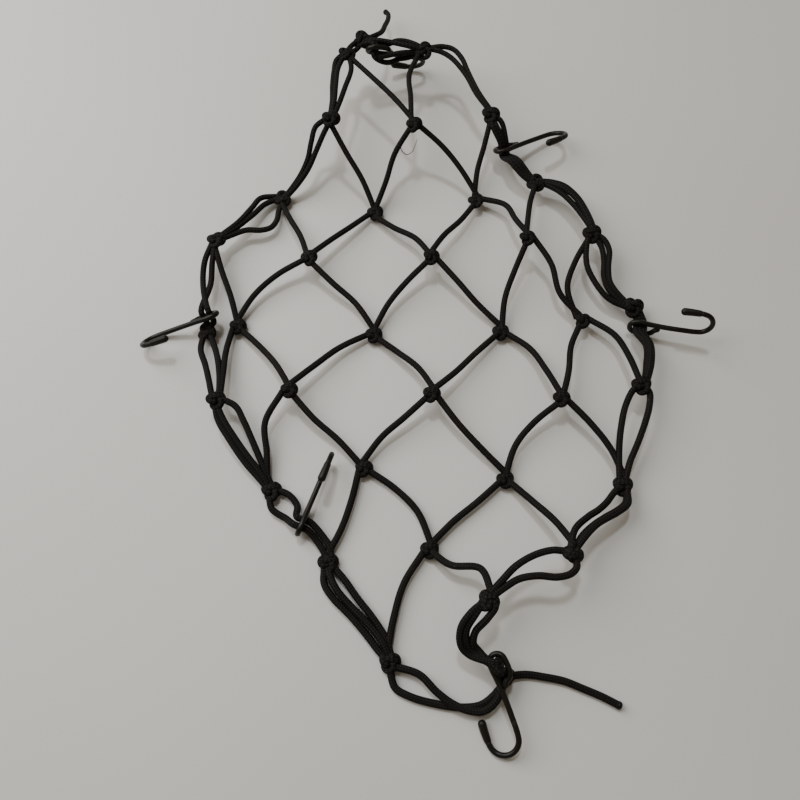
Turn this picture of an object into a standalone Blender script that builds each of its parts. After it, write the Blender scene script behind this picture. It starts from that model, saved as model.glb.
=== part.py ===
"""Elastic cargo net with six wire hooks, as it lies slack on a flat surface.

Run with:  blender --background --python part.py

The net is a diamond mesh knotted from one long elastic cord, with a border of two to four cords side by
side.  Six coated wire hooks are threaded on the border.  X runs across the net, Y up its length, +Z away
from the surface, and the origin is at the bottom centre of the whole part.  The tables are in millimetres.
"""
import math
from collections import namedtuple

import bmesh
import bpy
from mathutils import Matrix, Vector

MM = 0.001
WELD = 0.00001           # metres within which a tube's caps are welded to it

# ---- driving sizes, in millimetres -------------------------------------------------------------------
CORD_TAUT = 3.5          # cord diameter at the net's top end, where it is stretched
CORD_SLACK = 4.3         # cord diameter at its bottom end, where it has gone slack
TOP_Y, BOTTOM_Y = 245.0, -165.0
MESH_KNOT = 5.2          # radius of a knot in the mesh
BORDER_KNOT = 5.9        # radius of a knot on the border
CORNER_KNOT = 6.4        # radius of the knots at the top and right corners
KNOT_FLATTEN = 0.92      # a knot's height over its width
KNOT_RIDGE = 0.13        # depth of the wraps round a knot, over its radius
FLOOR_KNOT_Z = 3.7       # height of the centre of a knot that lies on the surface
STRAND_INSET = 1.2       # how far from a knot's centre a strand ends, inside the knot
STRAND_SPREAD = 0.3      # how far aside a border strand ends, over its nearest bow
MOST_SPREAD = 2.6
CORD_REST = 0.1          # between a resting cord and the surface that the knots stand on
STRAND_STEPS = 4         # steps between two of a strand's stops, before the idle ones are dropped
STRAND_TURN = 13.0       # degrees that a strand turns between two rings of its mesh
KNOT_SEGMENTS, KNOT_RINGS, KNOT_WRAPS = 8, 6, 4
KNOT_LEAN = 24.0         # degrees that a knot's wraps lean from level
KNOT_TURN = 63.0         # degrees that each knot is turned from the one before

WIRE = 3.3               # hook wire over its coating
CAP = 4.8                # dipped cap on the hook's tip
CAP_LENGTH = 11.3
CAP_GAP = 0.3            # between the wire's end and its cap
EYE_RADIUS = 4.4         # closed eye, to the middle of the wire
# the closing leg, from the wire's end back to the round of the eye
EyeLeg = namedtuple("EyeLeg", "along side")
EYE_LEG = [EyeLeg(17.4, -3.8), EyeLeg(15.8, -5.0), EyeLeg(13.9, -7.7), EyeLeg(11.4, -8.8)]
SHANK = 40.5             # from the eye's top to the start of the bend
SHANK_BOW = 0.8          # how far the shank stands out from its straight line, away from the bend
BEND_RADIUS = 8.0        # the open bend, to the middle of the wire
WIRE_END = 1.0           # from the start of the bend back to the level of the wire's end
CAP_DROOP = 0.7          # how far the cap's tip leans in toward the shank
CAP_ROUNDING = 0.35      # of the cap's tip, over its radius
ARC_STEPS = 6            # in a half turn of the wire
SHANK_STEPS = 4          # along the shank
CORD_SIDES, WIRE_SIDES = 1, 2    # bevel resolutions, for six and eight sides
SHARP = 50.0             # degrees between two faces that share a hard edge
SEAT_GAP = 0.5           # between a threaded cord and the top of the eye
BUNDLE_STAGGER = 0.1     # how far they lie to each side of the bundle's middle
BUNDLE_SIDE = 4.4        # from the shank's line to the bundle's middle
EYE_RUN = 4.4            # how far a threaded cord runs straight each side of its eye

# ---- where the knots lie -----------------------------------------------------------------------------
Knot = namedtuple("Knot", "name x y z radius")
KNOTS = [Knot(*row) for row in (
    # the mesh: the first digit counts along one diagonal, the second along the other
    ("G00", 9, 182, 33, MESH_KNOT), ("G10", 51, 141, 6, MESH_KNOT),
    ("G20", 82, 104, 20, MESH_KNOT), ("G30", 116, 51, 8, MESH_KNOT),
    ("G01", -17, 133, 0, MESH_KNOT), ("G11", 20, 93, 15, MESH_KNOT),
    ("G21", 64, 45, 0, MESH_KNOT), ("G31", 98, -4, 14, MESH_KNOT),
    ("G02", -59, 93, 14, MESH_KNOT), ("G12", -17, 43, 0, MESH_KNOT),
    ("G22", 19, -1, 14, MESH_KNOT), ("G32", 63, -52, 0, MESH_KNOT),
    ("G03", -104, 49, 0, MESH_KNOT), ("G13", -68, 2, 13, MESH_KNOT),
    ("G23", -22, -45, 0, MESH_KNOT), ("G33", 17, -94, 0, MESH_KNOT),
    # the border, round from the top corner by the right side
    ("T", -26, 251, 34, CORNER_KNOT), ("TR0", 16, 243, 33, BORDER_KNOT), ("TR1", 61, 196, 25, BORDER_KNOT),
    ("TR2", 91, 151, 12, BORDER_KNOT), ("TR3", 125, 110, 15, BORDER_KNOT),
    ("R", 149, 60, 9, CORNER_KNOT), ("BR0", 147, 4, 16, BORDER_KNOT),
    ("BR1", 132, -57, 8, BORDER_KNOT), ("BR2", 97, -99, 22, BORDER_KNOT),
    ("BR3", 48, -126, 25, BORDER_KNOT), ("B", 58.3, -164.6, 0, MESH_KNOT),
    ("BL3", -6, -157, 0, BORDER_KNOT), ("BL2", -42, -102, 0, BORDER_KNOT),
    ("BL1", -77, -59, 0, BORDER_KNOT), ("BL0", -112, -5, 14, BORDER_KNOT),
    ("L", -123, 44.5, 5.5, BORDER_KNOT), ("TL3", -120, 106, 14, BORDER_KNOT),
    ("TL2", -80, 144, 0, BORDER_KNOT), ("TL1", -46, 185, 35, BORDER_KNOT),
    ("TL0", -37, 239, 34, BORDER_KNOT),
)]

# ---- the strands between them ------------------------------------------------------------------------
# A bow is how far the strand stands to the left of the straight line between its knots, seen from above.
# Leave and arrive are how far to the left of a knot's centre the strand ends inside it.
Leg = namedtuple("Leg", "start end leave bow_a bow_b arrive")
LEG_AT = (0.35, 0.65)    # where along its line a leg's two bows are measured
LEGS = [Leg(*row) for row in (
    ("TL0", "G00", 0.3, 2, 3, 1.8), ("G00", "G10", 1.9, 6, 6, 2.6), ("G10", "G20", 3, 10.4, 6, 2.2),
    ("G20", "G30", 3.4, 3.6, -2.6, 1.2), ("G30", "BR0", 3.4, 9.5, 6.8, 0),
    ("TL1", "G01", -1.6, -0.3, 1.7, 0.6), ("G01", "G11", -2.2, 0, 3.5, 0.8), ("G11", "G21", 1.9, 2, 1.5, 3),
    ("G21", "G31", 1.6, 7, 5.3, 1.3), ("G31", "BR1", 2, 6.2, 7.2, 3),
    ("TL2", "G02", -1.6, -0.8, 0.7, -0.6), ("G02", "G12", -1.2, 1.3, 4.2, 2),
    ("G12", "G22", -0.4, 3.3, 5.7, 3), ("G22", "G32", 1.9, 0.6, 1.3, 3), ("G32", "BR2", 0.6, 3.2, 5, 3.4),
    ("TL3", "G03", -1.9, -1.4, 0.2, 0.1), ("G03", "G13", -0.2, 2.7, 3.6, 1),
    ("G13", "G23", -0.3, -1.2, 0.6, 0), ("G23", "G33", 0.5, 7, 8.6, 2.1), ("G33", "BR3", -0.5, 1.5, 11, 3.6),
    ("TR0", "G00", -1.9, -7.6, -4.6, -1.8), ("G00", "G01", -1, -4.1, -2, -0.8),
    ("G01", "G02", -1.6, -1.7, -2, -1.5), ("G02", "G03", -0.7, -7, -8, -2.7),
    ("G03", "BL0", -2.7, -2.9, -0.7, 1.8),
    ("TR1", "G10", 0.6, -0.8, -2.6, -1.5), ("G10", "G11", 0.4, 0, -2.6, -2.2),
    ("G11", "G12", 0.2, -3.5, -4.6, -1.4), ("G12", "G13", -2.1, -5.5, -4.7, -2.9),
    ("G13", "BL1", -3.4, -11.2, -6.8, -2.6),
    ("TR2", "G20", 0, -1.9, -1.8, -1.1), ("G20", "G21", 0.4, -2.3, -3.4, 0.4),
    ("G21", "G22", -0.5, -0.8, -0.4, -1.7), ("G22", "G23", -0.6, -2.8, -5, -3),
    ("G23", "BL2", -2.6, -0.3, 0, -2.8),
    ("TR3", "G30", -0.6, -9, -12, -3.4), ("G30", "G31", -0.7, -2.9, -0.3, 0.4),
    ("G31", "G32", 0.8, -5.4, -6.8, -0.8), ("G32", "G33", -1.2, -1.6, -2.7, -1.6),
    ("G33", "BL3", -2.2, -7.4, -6.3, -2.3),
)]

# Bows are pairs: how far along the line, and how far to its left. Lift is how far the strand stands above it.
Edge = namedtuple("Edge", "start end lift hook bows")
EDGES = [Edge(*row) for row in (
    ("TL0", "T", 1, None, [(0.35, 1.5), (0.65, 1.5)]), ("TL0", "T", -1, None, [(0.35, -1.5), (0.65, -1.5)]),
    ("T", "TR0", 1, None, [(0.42, -0.4), (0.54, 3.3), (0.68, 4.4), (0.84, 3.2)]),
    ("T", "TR0", -6, "hook_top", [(0.36, -10), (0.49, -9.4), (0.61, -5.6), (0.75, -3)]),
    ("T", "TR0", -1, "hook_top", [(0.47, -7.8), (0.64, -4.4), (0.8, -2.4)]),
    ("T", "TR0", 3, None, [(0.25, -0.6), (0.45, -0.4), (0.75, -1)]),
    ("TR0", "TR1", 0, None, [(0.09, 12), (0.19, 16.4), (0.33, 15.8), (0.47, 12), (0.72, 6)]),
    ("TR0", "TR1", 0, None, [(0.12, 8.2), (0.26, 10.6), (0.5, 8.8), (0.72, 4.2)]),
    ("TR1", "TR2", 0, "hook_upper_right", [(0.15, -3.6), (0.62, -6.9), (0.84, -5)]),
    ("TR1", "TR2", 0, "hook_upper_right", [(0.15, -1), (0.64, -4.4), (0.84, -2.9)]),
    ("TR1", "TR2", 0, "hook_upper_right", [(0.14, 3.6), (0.64, -1.7), (0.84, -0.8)]),
    ("TR2", "TR3", 1, None, [(0.12, 7.6), (0.27, 12), (0.5, 12.2), (0.74, 8.6)]),
    ("TR2", "TR3", 2, None, [(0.28, 9.4), (0.5, 10.4), (0.77, 6.4)]),
    ("TR2", "TR3", 0, None, [(0.28, 6.9), (0.52, 7), (0.78, 4.6)]),
    ("TR3", "R", 0, None, [(0.12, -8), (0.32, -13.6), (0.55, -14.5), (0.78, -12)]),
    ("TR3", "R", 0, None, [(0.18, 1.2), (0.35, -1.9), (0.52, -7.2), (0.7, -8.8)]),
    ("TR3", "R", 1, None, [(0.13, 4.8), (0.27, 4.2), (0.46, -2.3), (0.64, -6.2)]),
    ("R", "BR0", 0, "hook_right", [(0.5, 5.2), (0.75, 4)]),
    ("R", "BR0", 2.2, "hook_right", [(0.5, 6.8), (0.75, 5.5)]),
    ("R", "BR0", 0, "hook_right", [(0.5, 8.3), (0.75, 7)]),
    ("BR0", "BR1", 0, None, [(0.08, -5), (0.25, -7.4), (0.48, -7.4), (0.72, -5.6)]),
    ("BR0", "BR1", 0, None, [(0.06, 5.5), (0.2, 6.7), (0.36, 5.9), (0.56, 4), (0.76, 1.5)]),
    ("BR1", "BR2", 0, None, [(0.13, -1.8), (0.28, -1.8), (0.42, -3), (0.55, -5.2), (0.77, -6.9)]),
    ("BR1", "BR2", -1.8, None, [(0.13, 7), (0.28, 5.6), (0.43, 2.6), (0.57, 0.2), (0.75, -1.4)]),
    ("BR1", "BR2", 1.8, None, [(0.15, 8.1), (0.3, 6.6), (0.44, 3.7), (0.58, 1.1), (0.76, 0)]),
    ("BR2", "BR3", 0, None, [(0.06, -2.9), (0.17, -6.8), (0.36, -9.3), (0.58, -9), (0.78, -5.8)]),
    ("BR2", "BR3", 0, None, [(0.05, 7.9), (0.14, 9.3), (0.27, 7.3), (0.44, 1.3), (0.62, -2.1), (0.8, -1.8)]),
    ("BR3", "B", 3, "hook_bottom", [(0.1, -11.4), (0.25, -18.3), (0.45, -20.4), (0.6, -17.2)]),
    ("BR3", "B", 3, "hook_bottom", [(0.13, -9), (0.28, -15.4), (0.45, -17), (0.58, -14.6)]),
    ("BR3", "B", 3, "hook_bottom", [(0.09, 3), (0.22, -3), (0.34, -11), (0.48, -13.6), (0.58, -11.8)]),
    ("B", "BL3", -1.4, None, [(0.09, 11), (0.19, 16.5), (0.36, 19), (0.62, 18.5), (0.8, 16.6), (0.93, 13)]),
    ("B", "BL3", 1.8, None, [(0.07, 14), (0.16, 19.4), (0.27, 20.3), (0.42, 18), (0.57, 12.8), (0.74, 4.6)]),
    ("BL3", "BL2", 0, None, [(0.13, 1.9), (0.3, 3), (0.5, 4.9), (0.73, 8.1), (0.87, 8)]),
    ("BL3", "BL2", 1.5, None, [(0.17, -2.4), (0.38, -0.9), (0.55, 1.6), (0.75, 3.8), (0.88, 3.1)]),
    ("BL3", "BL2", 0, None, [(0.18, -5), (0.39, -5), (0.6, -3.6), (0.8, -2.9)]),
    ("BL2", "BL1", 0, "hook_lower_left", [(0.14, -2.2), (0.26, -2.8), (0.66, 3.2), (0.84, 6.3)]),
    ("BL2", "BL1", 0, "hook_lower_left", [(0.13, -6.5), (0.25, -7.2), (0.7, -6.6), (0.85, -6.6)]),
    ("BL1", "BL0", 0, None, [(0.14, 2.2), (0.37, 4.6), (0.62, 5.4), (0.82, 5.2)]),
    ("BL1", "BL0", 1, None, [(0.16, -0.2), (0.4, 1.5), (0.62, 2.3), (0.8, 2.4)]),
    ("BL1", "BL0", 0, None, [(0.24, -3.4), (0.49, -5.8), (0.7, -7.6), (0.86, -8)]),
    ("BL0", "L", 0, None, [(0.1, 2.2), (0.3, 2.9), (0.52, 3.8), (0.76, 5.4)]),
    ("BL0", "L", 0, None, [(0.19, -3.1), (0.48, -4.3), (0.72, -3.6)]),
    ("L", "TL3", 0, "hook_left", [(0.52, 5.8), (0.76, 6.1)]),
    ("L", "TL3", 0, "hook_left", [(0.52, 0.8), (0.76, 1.2)]),
    ("TL3", "TL2", 1, None, [(0.37, 2.2), (0.62, 6), (0.8, 8.6)]),
    ("TL3", "TL2", 0, None, [(0.35, 0.2), (0.59, 1.8), (0.78, 3.6)]),
    ("TL3", "TL2", -1, None, [(0.2, -2.4), (0.37, -5), (0.5, -10.8), (0.62, -13.2), (0.74, -11), (0.87, -5)]),
    ("TL2", "TL1", 0, None, [(0.3, -2.4), (0.51, -0.8), (0.68, 3.4), (0.84, 6.4)]),
    ("TL2", "TL1", 0, None, [(0.2, -3.9), (0.43, -4.8), (0.65, -2.8), (0.84, -1)]),
    ("TL1", "TL0", 0, None, [(0.28, 2), (0.5, 4.2), (0.7, 5.4), (0.88, 5.7)]),
    ("TL1", "TL0", 1, None, [(0.28, 0.4), (0.5, 1.9), (0.75, 3)]),
    ("TL1", "TL0", 0, None, [(0.22, -2.9), (0.5, -4.5), (0.78, -5.7)]),
)]

# The cord's two free ends, as the points that each passes on its way from its knot.
TAILS = {
    "T": [(-17.5, 255, 34), (-13, 263, 29), (-11, 273, 24), (-9, 284, 18), (-9, 294, 13), (-11, 298, 11)],
    "B": [(70, -163.5, 2), (81, -165, 2), (91, -167, 2), (100, -170.5, 2), (111, -175, 2), (121, -180, 2)],
}

# ---- the hooks ---------------------------------------------------------------------------------------
# x, y, z is the shank's line at the top of the eye, heading and pitch aim the shank, and roll turns the
# open bend about it: 0 opens it level to the left of the heading, 90 upwards.  Size is its length and bend
# over the driving sizes, because hooks bent by hand differ a little.  Spacing is that of the cords in its
# eye, over their diameter: three are squeezed together, and two have room.
Hook = namedtuple("Hook", "name x y z heading pitch roll size spacing")
HOOKS = [Hook(*row) for row in (
    ("hook_top", -23.8, 242.4, 32.5, 11.9, -21.4, 290, 0.96, 0.66),
    ("hook_upper_right", 67.8, 172.2, 16.5, 32.2, -13.7, 142, 1.0, 0.66),
    ("hook_right", 145.8, 49.2, 11.7, -11.5, 1.2, 71, 0.99, 0.66),
    ("hook_bottom", 47.5, -154.7, 12.6, -68.4, -6.4, 198.9, 1.06, 0.66),
    ("hook_lower_left", -58.8, -84.9, 12.5, 71.1, -11.1, 101.1, 1.0, 1.2),
    ("hook_left", -116.8, 50.2, 16.8, 190.3, -20.2, 48, 1.0, 1.2),
)]

MIDDLE = Vector((15.3, 46.15, 0.0))   # of the finished part's box, which is taken to the origin


def start_scene():
    """Empties the scene and makes the part's collection and the one for cutters."""
    for thing in list(bpy.data.objects):
        bpy.data.objects.remove(thing)
    part = bpy.data.collections.new("cargo_net")
    cutters = bpy.data.collections.new("cutters")
    for collection in (part, cutters):
        bpy.context.scene.collection.children.link(collection)
    return part, cutters


def make_material(name, colour, roughness):
    material = bpy.data.materials.new(name)
    material.use_nodes = True
    shader = material.node_tree.nodes["Principled BSDF"]
    shader.inputs["Base Color"].default_value = (*colour, 1.0)
    shader.inputs["Roughness"].default_value = roughness
    return material


# ---- curves ------------------------------------------------------------------------------------------
def cord_radius(y):
    """The elastic is thinner toward the top, where it is stretched."""
    slackness = min(max((TOP_Y - y) / (TOP_Y - BOTTOM_Y), 0.0), 1.0)
    return (CORD_TAUT + (CORD_SLACK - CORD_TAUT) * slackness) / 2


def smooth_points(route, steps):
    """Reads a smooth curve through the route's stops, with so many steps between each two.

    The curve's parameter grows with the root of the distance, so it doesn't swing out between close stops.
    """
    padded = [2 * route[0] - route[1], *route, 2 * route[-1] - route[-2]]
    points = []
    for before, start, end, after in zip(padded, padded[1:], padded[2:], padded[3:]):
        t1 = math.sqrt((start - before).length)
        t2 = t1 + math.sqrt((end - start).length)
        t3 = t2 + math.sqrt((after - end).length)
        for step in range(steps):
            t = t1 + (t2 - t1) * step / steps
            middle = start.lerp(end, (t - t1) / (t2 - t1))
            early = before.lerp(start, t / t1).lerp(middle, t / t2)
            late = middle.lerp(end.lerp(after, (t - t2) / (t3 - t2)), (t - t1) / (t3 - t1))
            points.append(early.lerp(late, (t - t1) / (t2 - t1)))
    return [*points, route[-1]]


def thin_out(points, most_turn):
    """Drops the points that the curve hardly turns at."""
    kept = [points[0]]
    for here, following in zip(points[1:], points[2:]):
        turn = (here - kept[-1]).angle(following - here)
        if turn > most_turn:
            kept.append(here)
    return [*kept, points[-1]]


def tube(name, points, radius, resolution):
    """A round bar along the points, in millimetres, as a mesh with welded caps."""
    curve = bpy.data.curves.new(name, "CURVE")
    curve.dimensions = "3D"
    curve.bevel_depth = radius * MM
    curve.bevel_resolution = resolution
    curve.use_fill_caps = True
    spline = curve.splines.new("POLY")
    spline.points.add(len(points) - 1)
    for spot, point in zip(spline.points, points):
        spot.co = (*(point * MM), 1.0)
    holder = bpy.data.objects.new(name, curve)
    bpy.context.scene.collection.objects.link(holder)
    bpy.context.view_layer.update()
    evaluated = holder.evaluated_get(bpy.context.evaluated_depsgraph_get())
    mesh = bpy.data.meshes.new_from_object(evaluated)
    bpy.data.objects.remove(holder)
    work = bmesh.new()
    work.from_mesh(mesh)
    bmesh.ops.remove_doubles(work, verts=work.verts, dist=WELD)
    bmesh.ops.recalc_face_normals(work, faces=work.faces)
    work.to_mesh(mesh)
    work.free()
    mesh.name = name
    return mesh


# ---- hooks -------------------------------------------------------------------------------------------
def hook_axes(hook):
    """The shank's direction, the side that its bend opens to, and the plane's normal."""
    heading, pitch, roll = (math.radians(turn) for turn in hook[4:7])
    ahead = Vector((math.cos(heading), math.sin(heading), 0.0))
    level = Vector((-math.sin(heading), math.cos(heading), 0.0))
    along = ahead * math.cos(pitch) + Vector((0.0, 0.0, math.sin(pitch)))
    side = level * math.cos(roll) + along.cross(level) * math.sin(roll)
    return along, side, along.cross(side)


def on_hook(hook, along_by, side_by, off_plane=0.0):
    along, side, normal = hook_axes(hook)
    return Vector(hook[1:4]) + along * along_by + side * side_by + normal * off_plane


def arc(centre_along, centre_side, radius, first, last, steps):
    """Points round an arc in the hook's plane; angles in degrees from the shank's direction."""
    points = []
    for step in range(steps + 1):
        angle = math.radians(first + (last - first) * step / steps)
        points.append((centre_along + radius * math.cos(angle), centre_side + radius * math.sin(angle)))
    return points


def shank_length(hook):
    return SHANK * hook.size


def shank_stops(hook, first):
    """The shank from a place near its eye to the bend, standing out a little from its straight line."""
    length = shank_length(hook)
    stops = []
    for step in range(1, SHANK_STEPS):
        along_by = first + (length - first) * step / SHANK_STEPS
        stops.append((along_by, -SHANK_BOW * math.sin(math.pi * step / SHANK_STEPS)))
    return stops


def wire_route(hook):
    """The wire's middle line: round the eye, down the shank and round the bend to the cap."""
    bend = BEND_RADIUS * hook.size
    length = shank_length(hook)
    stops = [*EYE_LEG, *arc(EYE_RADIUS, -EYE_RADIUS, EYE_RADIUS, -90, -270, ARC_STEPS)]
    stops += shank_stops(hook, EYE_RADIUS)
    stops += [*arc(length, bend, bend, -90, 90, ARC_STEPS), (length - WIRE_END, 2 * bend)]
    return [on_hook(hook, *stop) for stop in stops]


def cap_route(hook):
    start = shank_length(hook) - WIRE_END - CAP_GAP
    shape = [(0.0, 0.0), (CAP_LENGTH / 2, CAP_DROOP / 4), (CAP_LENGTH, CAP_DROOP)]
    return [on_hook(hook, start - back, 2 * BEND_RADIUS * hook.size - droop) for back, droop in shape]


def round_cap(mesh, tip, radius):
    """Draws the cap's far end out to a blunt dome by insetting its end face."""
    work = bmesh.new()
    work.from_mesh(mesh)
    end = min(work.faces, key=lambda face: (face.calc_center_median() - tip).length)
    outward = end.normal.copy()
    bmesh.ops.inset_individual(work, faces=[end], thickness=radius * CAP_ROUNDING, use_even_offset=True)
    for vertex in end.verts:
        vertex.co += outward * radius * CAP_ROUNDING
    work.to_mesh(mesh)
    work.free()


# ---- the net -----------------------------------------------------------------------------------------
def knot_spot(knot):
    return Vector((knot.x, knot.y, max(knot.z, FLOOR_KNOT_Z)))


def knot_mesh(knot, turn):
    """A lump with ridges where the cord wraps round it, pressed flat where it rests on the surface."""
    work = bmesh.new()
    bmesh.ops.create_uvsphere(work, u_segments=KNOT_SEGMENTS, v_segments=KNOT_RINGS, radius=1.0)
    for vertex in work.verts:
        around = math.atan2(vertex.co.y, vertex.co.x)
        ridge = 1.0 + KNOT_RIDGE * math.cos(KNOT_WRAPS * around) * (1.0 - vertex.co.z ** 2)
        vertex.co *= ridge * knot.radius
        vertex.co.z *= KNOT_FLATTEN
    lean = KNOT_LEAN if knot.z > FLOOR_KNOT_Z else 0.0
    turned = Matrix.Rotation(math.radians(turn), 4, "Z") @ Matrix.Rotation(math.radians(lean), 4, "X")
    work.transform(Matrix.Translation(knot_spot(knot) * MM) @ turned @ Matrix.Scale(MM, 4))
    for vertex in work.verts:
        vertex.co.z = max(vertex.co.z, 0.0)
    mesh = bpy.data.meshes.new(knot.name)
    work.to_mesh(mesh)
    work.free()
    return mesh


def to_the_left(start, end):
    line = end - start
    return Vector((-line.y, line.x, 0.0)).normalized()


def bowed_stops(start, end, bows, lift):
    """Stops set off to the left of the straight line between two knots, each with its place along it."""
    stops = []
    for at, bow in bows:
        spot = start.lerp(end, at) + to_the_left(start, end) * bow
        spot.z += lift
        stops.append((at, spot))
    return stops


def eye_stops(hook, start, end, place):
    """Three stops that carry a strand square through a hook's eye, at its place in the row of cords."""
    normal = hook_axes(hook)[2]
    radius = cord_radius(hook.y)
    along_by = WIRE / 2 + SEAT_GAP + radius * (1 + 2 * hook.spacing * place)
    stagger = BUNDLE_STAGGER * (1 if place % 2 else -1)
    middle = on_hook(hook, along_by, stagger - BUNDLE_SIDE)
    line = end - start
    onward = normal if normal.dot(line) > 0 else -normal
    at = (middle - start).dot(line) / line.length_squared
    step = EYE_RUN / line.length
    return [(at - step, middle - onward * EYE_RUN), (at, middle), (at + step, middle + onward * EYE_RUN)]


def inside_knot(knot_at, next_stop, left, aside):
    """Where a strand ends inside its knot, on the side that it leaves by."""
    return knot_at + (next_stop - knot_at).normalized() * STRAND_INSET + left * aside


def spread(bow):
    """How far aside a border strand ends inside its knot, from its nearest bow."""
    return min(max(bow * STRAND_SPREAD, -MOST_SPREAD), MOST_SPREAD)


def strand_routes():
    """Every strand's stops, each strand ending inside its knots."""
    spots = {knot.name: knot_spot(knot) for knot in KNOTS}
    hooks = {hook.name: hook for hook in HOOKS}
    threaded = dict.fromkeys(hooks, 0)
    rows = []
    for leg in LEGS:
        bows = list(zip(LEG_AT, (leg.bow_a, leg.bow_b)))
        rows.append((leg.start, leg.end, leg.leave, leg.arrive, bows, 0.0, None))
    for edge in EDGES:
        leave, arrive = spread(edge.bows[0][1]), spread(edge.bows[-1][1])
        rows.append((edge.start, edge.end, leave, arrive, edge.bows, edge.lift, edge.hook))
    routes = []
    for start_name, end_name, leave, arrive, bows, lift, hook_name in rows:
        start, end = spots[start_name], spots[end_name]
        stops = bowed_stops(start, end, bows, lift)
        if hook_name:
            stops += eye_stops(hooks[hook_name], start, end, threaded[hook_name])
            threaded[hook_name] += 1
        stops = [spot for at, spot in sorted(stops, key=lambda stop: stop[0])]
        left = to_the_left(start, end)
        first = inside_knot(start, stops[0], left, leave)
        last = inside_knot(end, stops[-1], left, arrive)
        routes.append([first, *stops, last])
    for knot_name, points in TAILS.items():
        start = spots[knot_name]
        stops = [Vector(point) for point in points]
        routes.append([start + (stops[0] - start).normalized() * STRAND_INSET, *stops])
    return routes


def join_meshes(name, meshes):
    work = bmesh.new()
    for mesh in meshes:
        work.from_mesh(mesh)
    joined = bpy.data.meshes.new(name)
    work.to_mesh(joined)
    work.free()
    return joined


def add_object(collection, name, mesh, material=None):
    mesh.transform(Matrix.Translation(-MIDDLE * MM))
    thing = bpy.data.objects.new(name, mesh)
    collection.objects.link(thing)
    if material:
        mesh.materials.append(material)
    return thing


def hide_cutter(thing):
    thing.hide_render = True
    thing.display_type = "WIRE"


def build_net(part, cutters, material):
    """Fuses the strands to the knots, so that the net is one solid."""
    knots = [knot_mesh(knot, index * KNOT_TURN) for index, knot in enumerate(KNOTS)]
    net = add_object(part, "net", join_meshes("net", knots), material)
    strands = []
    for index, route in enumerate(strand_routes()):
        middle_y = sum(point.y for point in route) / len(route)
        radius = cord_radius(middle_y)
        points = smooth_points(route, STRAND_STEPS)
        for point in points:
            point.z = max(point.z, radius + CORD_REST)
        points = thin_out(points, math.radians(STRAND_TURN))
        strands.append(tube(f"strand_{index:02d}", points, radius, CORD_SIDES))
    cords = add_object(cutters, "strands", join_meshes("strands", strands))
    hide_cutter(cords)
    fuse = net.modifiers.new("fuse strands", "BOOLEAN")
    fuse.operation = "UNION"
    fuse.object = cords
    fuse.use_self = True


def build_hook(part, hook, coated, dipped):
    wire = tube(hook.name + "_wire", wire_route(hook), WIRE / 2, WIRE_SIDES)
    cap_points = cap_route(hook)
    cap = tube(hook.name + "_cap", cap_points, CAP / 2, WIRE_SIDES)
    round_cap(cap, cap_points[-1] * MM, CAP / 2 * MM)
    for suffix, mesh, material in (("_wire", wire, coated), ("_cap", cap, dipped)):
        mesh.shade_smooth()
        mesh.set_sharp_from_angle(angle=math.radians(SHARP))
        add_object(part, hook.name + suffix, mesh, material)


def main():
    part, cutters = start_scene()
    elastic = make_material("black_elastic_cord", (0.012, 0.011, 0.011), 0.75)
    coated = make_material("black_coated_wire", (0.010, 0.010, 0.011), 0.28)
    dipped = make_material("black_dipped_cap", (0.014, 0.013, 0.013), 0.42)
    build_net(part, cutters, elastic)
    for hook in HOOKS:
        build_hook(part, hook, coated, dipped)


main()
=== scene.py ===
# %% [markdown]
# # An elastic cargo net with six hooks
#
# A cargo net is one long elastic cord, knotted into diamonds, with a border of several cords side by side.
# Wire hooks are threaded on the border.  This notebook dresses the plain solids of such a net: it swaps them
# for round cords with a braided sheath, real knots, and smooth coated hooks with dipped tips.
#
# The solids come first, because they say how big the net is and where everything lies.

import math
import random
from collections import namedtuple

import bpy
import numpy as np
from mathutils import Matrix, Vector, noise


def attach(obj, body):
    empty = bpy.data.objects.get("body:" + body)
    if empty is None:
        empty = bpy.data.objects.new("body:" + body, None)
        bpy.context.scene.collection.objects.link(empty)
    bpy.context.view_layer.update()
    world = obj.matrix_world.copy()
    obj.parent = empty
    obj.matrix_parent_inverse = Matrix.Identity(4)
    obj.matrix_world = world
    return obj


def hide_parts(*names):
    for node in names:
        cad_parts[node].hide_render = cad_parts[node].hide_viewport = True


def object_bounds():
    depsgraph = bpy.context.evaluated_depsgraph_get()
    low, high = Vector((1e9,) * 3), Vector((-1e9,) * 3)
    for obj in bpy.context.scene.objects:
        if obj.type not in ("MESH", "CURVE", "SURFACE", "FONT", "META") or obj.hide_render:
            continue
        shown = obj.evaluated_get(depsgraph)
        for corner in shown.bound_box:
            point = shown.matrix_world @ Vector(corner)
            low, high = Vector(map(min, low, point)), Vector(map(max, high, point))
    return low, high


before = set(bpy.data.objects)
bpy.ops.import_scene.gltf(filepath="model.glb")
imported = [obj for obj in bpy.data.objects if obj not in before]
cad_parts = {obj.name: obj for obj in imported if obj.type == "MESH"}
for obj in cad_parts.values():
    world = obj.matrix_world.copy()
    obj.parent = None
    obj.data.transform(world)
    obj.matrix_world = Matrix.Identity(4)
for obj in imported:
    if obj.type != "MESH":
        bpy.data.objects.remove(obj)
cad_low, cad_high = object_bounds()
MM = 0.001
cad_size = [round(side / MM, 1) for side in cad_high - cad_low]
print("the solids fill", cad_size, "mm and are", len(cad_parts), "nodes")

# %% [markdown]
# ## The camera
#
# The net was photographed from above with a small camera held over its near half, tilted a little toward
# its far end.  A camera in Blender looks along its own -Z axis, so one that isn't turned looks straight
# down, and the tilt is a turn about X.  Lens and sensor width together give the angle of view.

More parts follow.
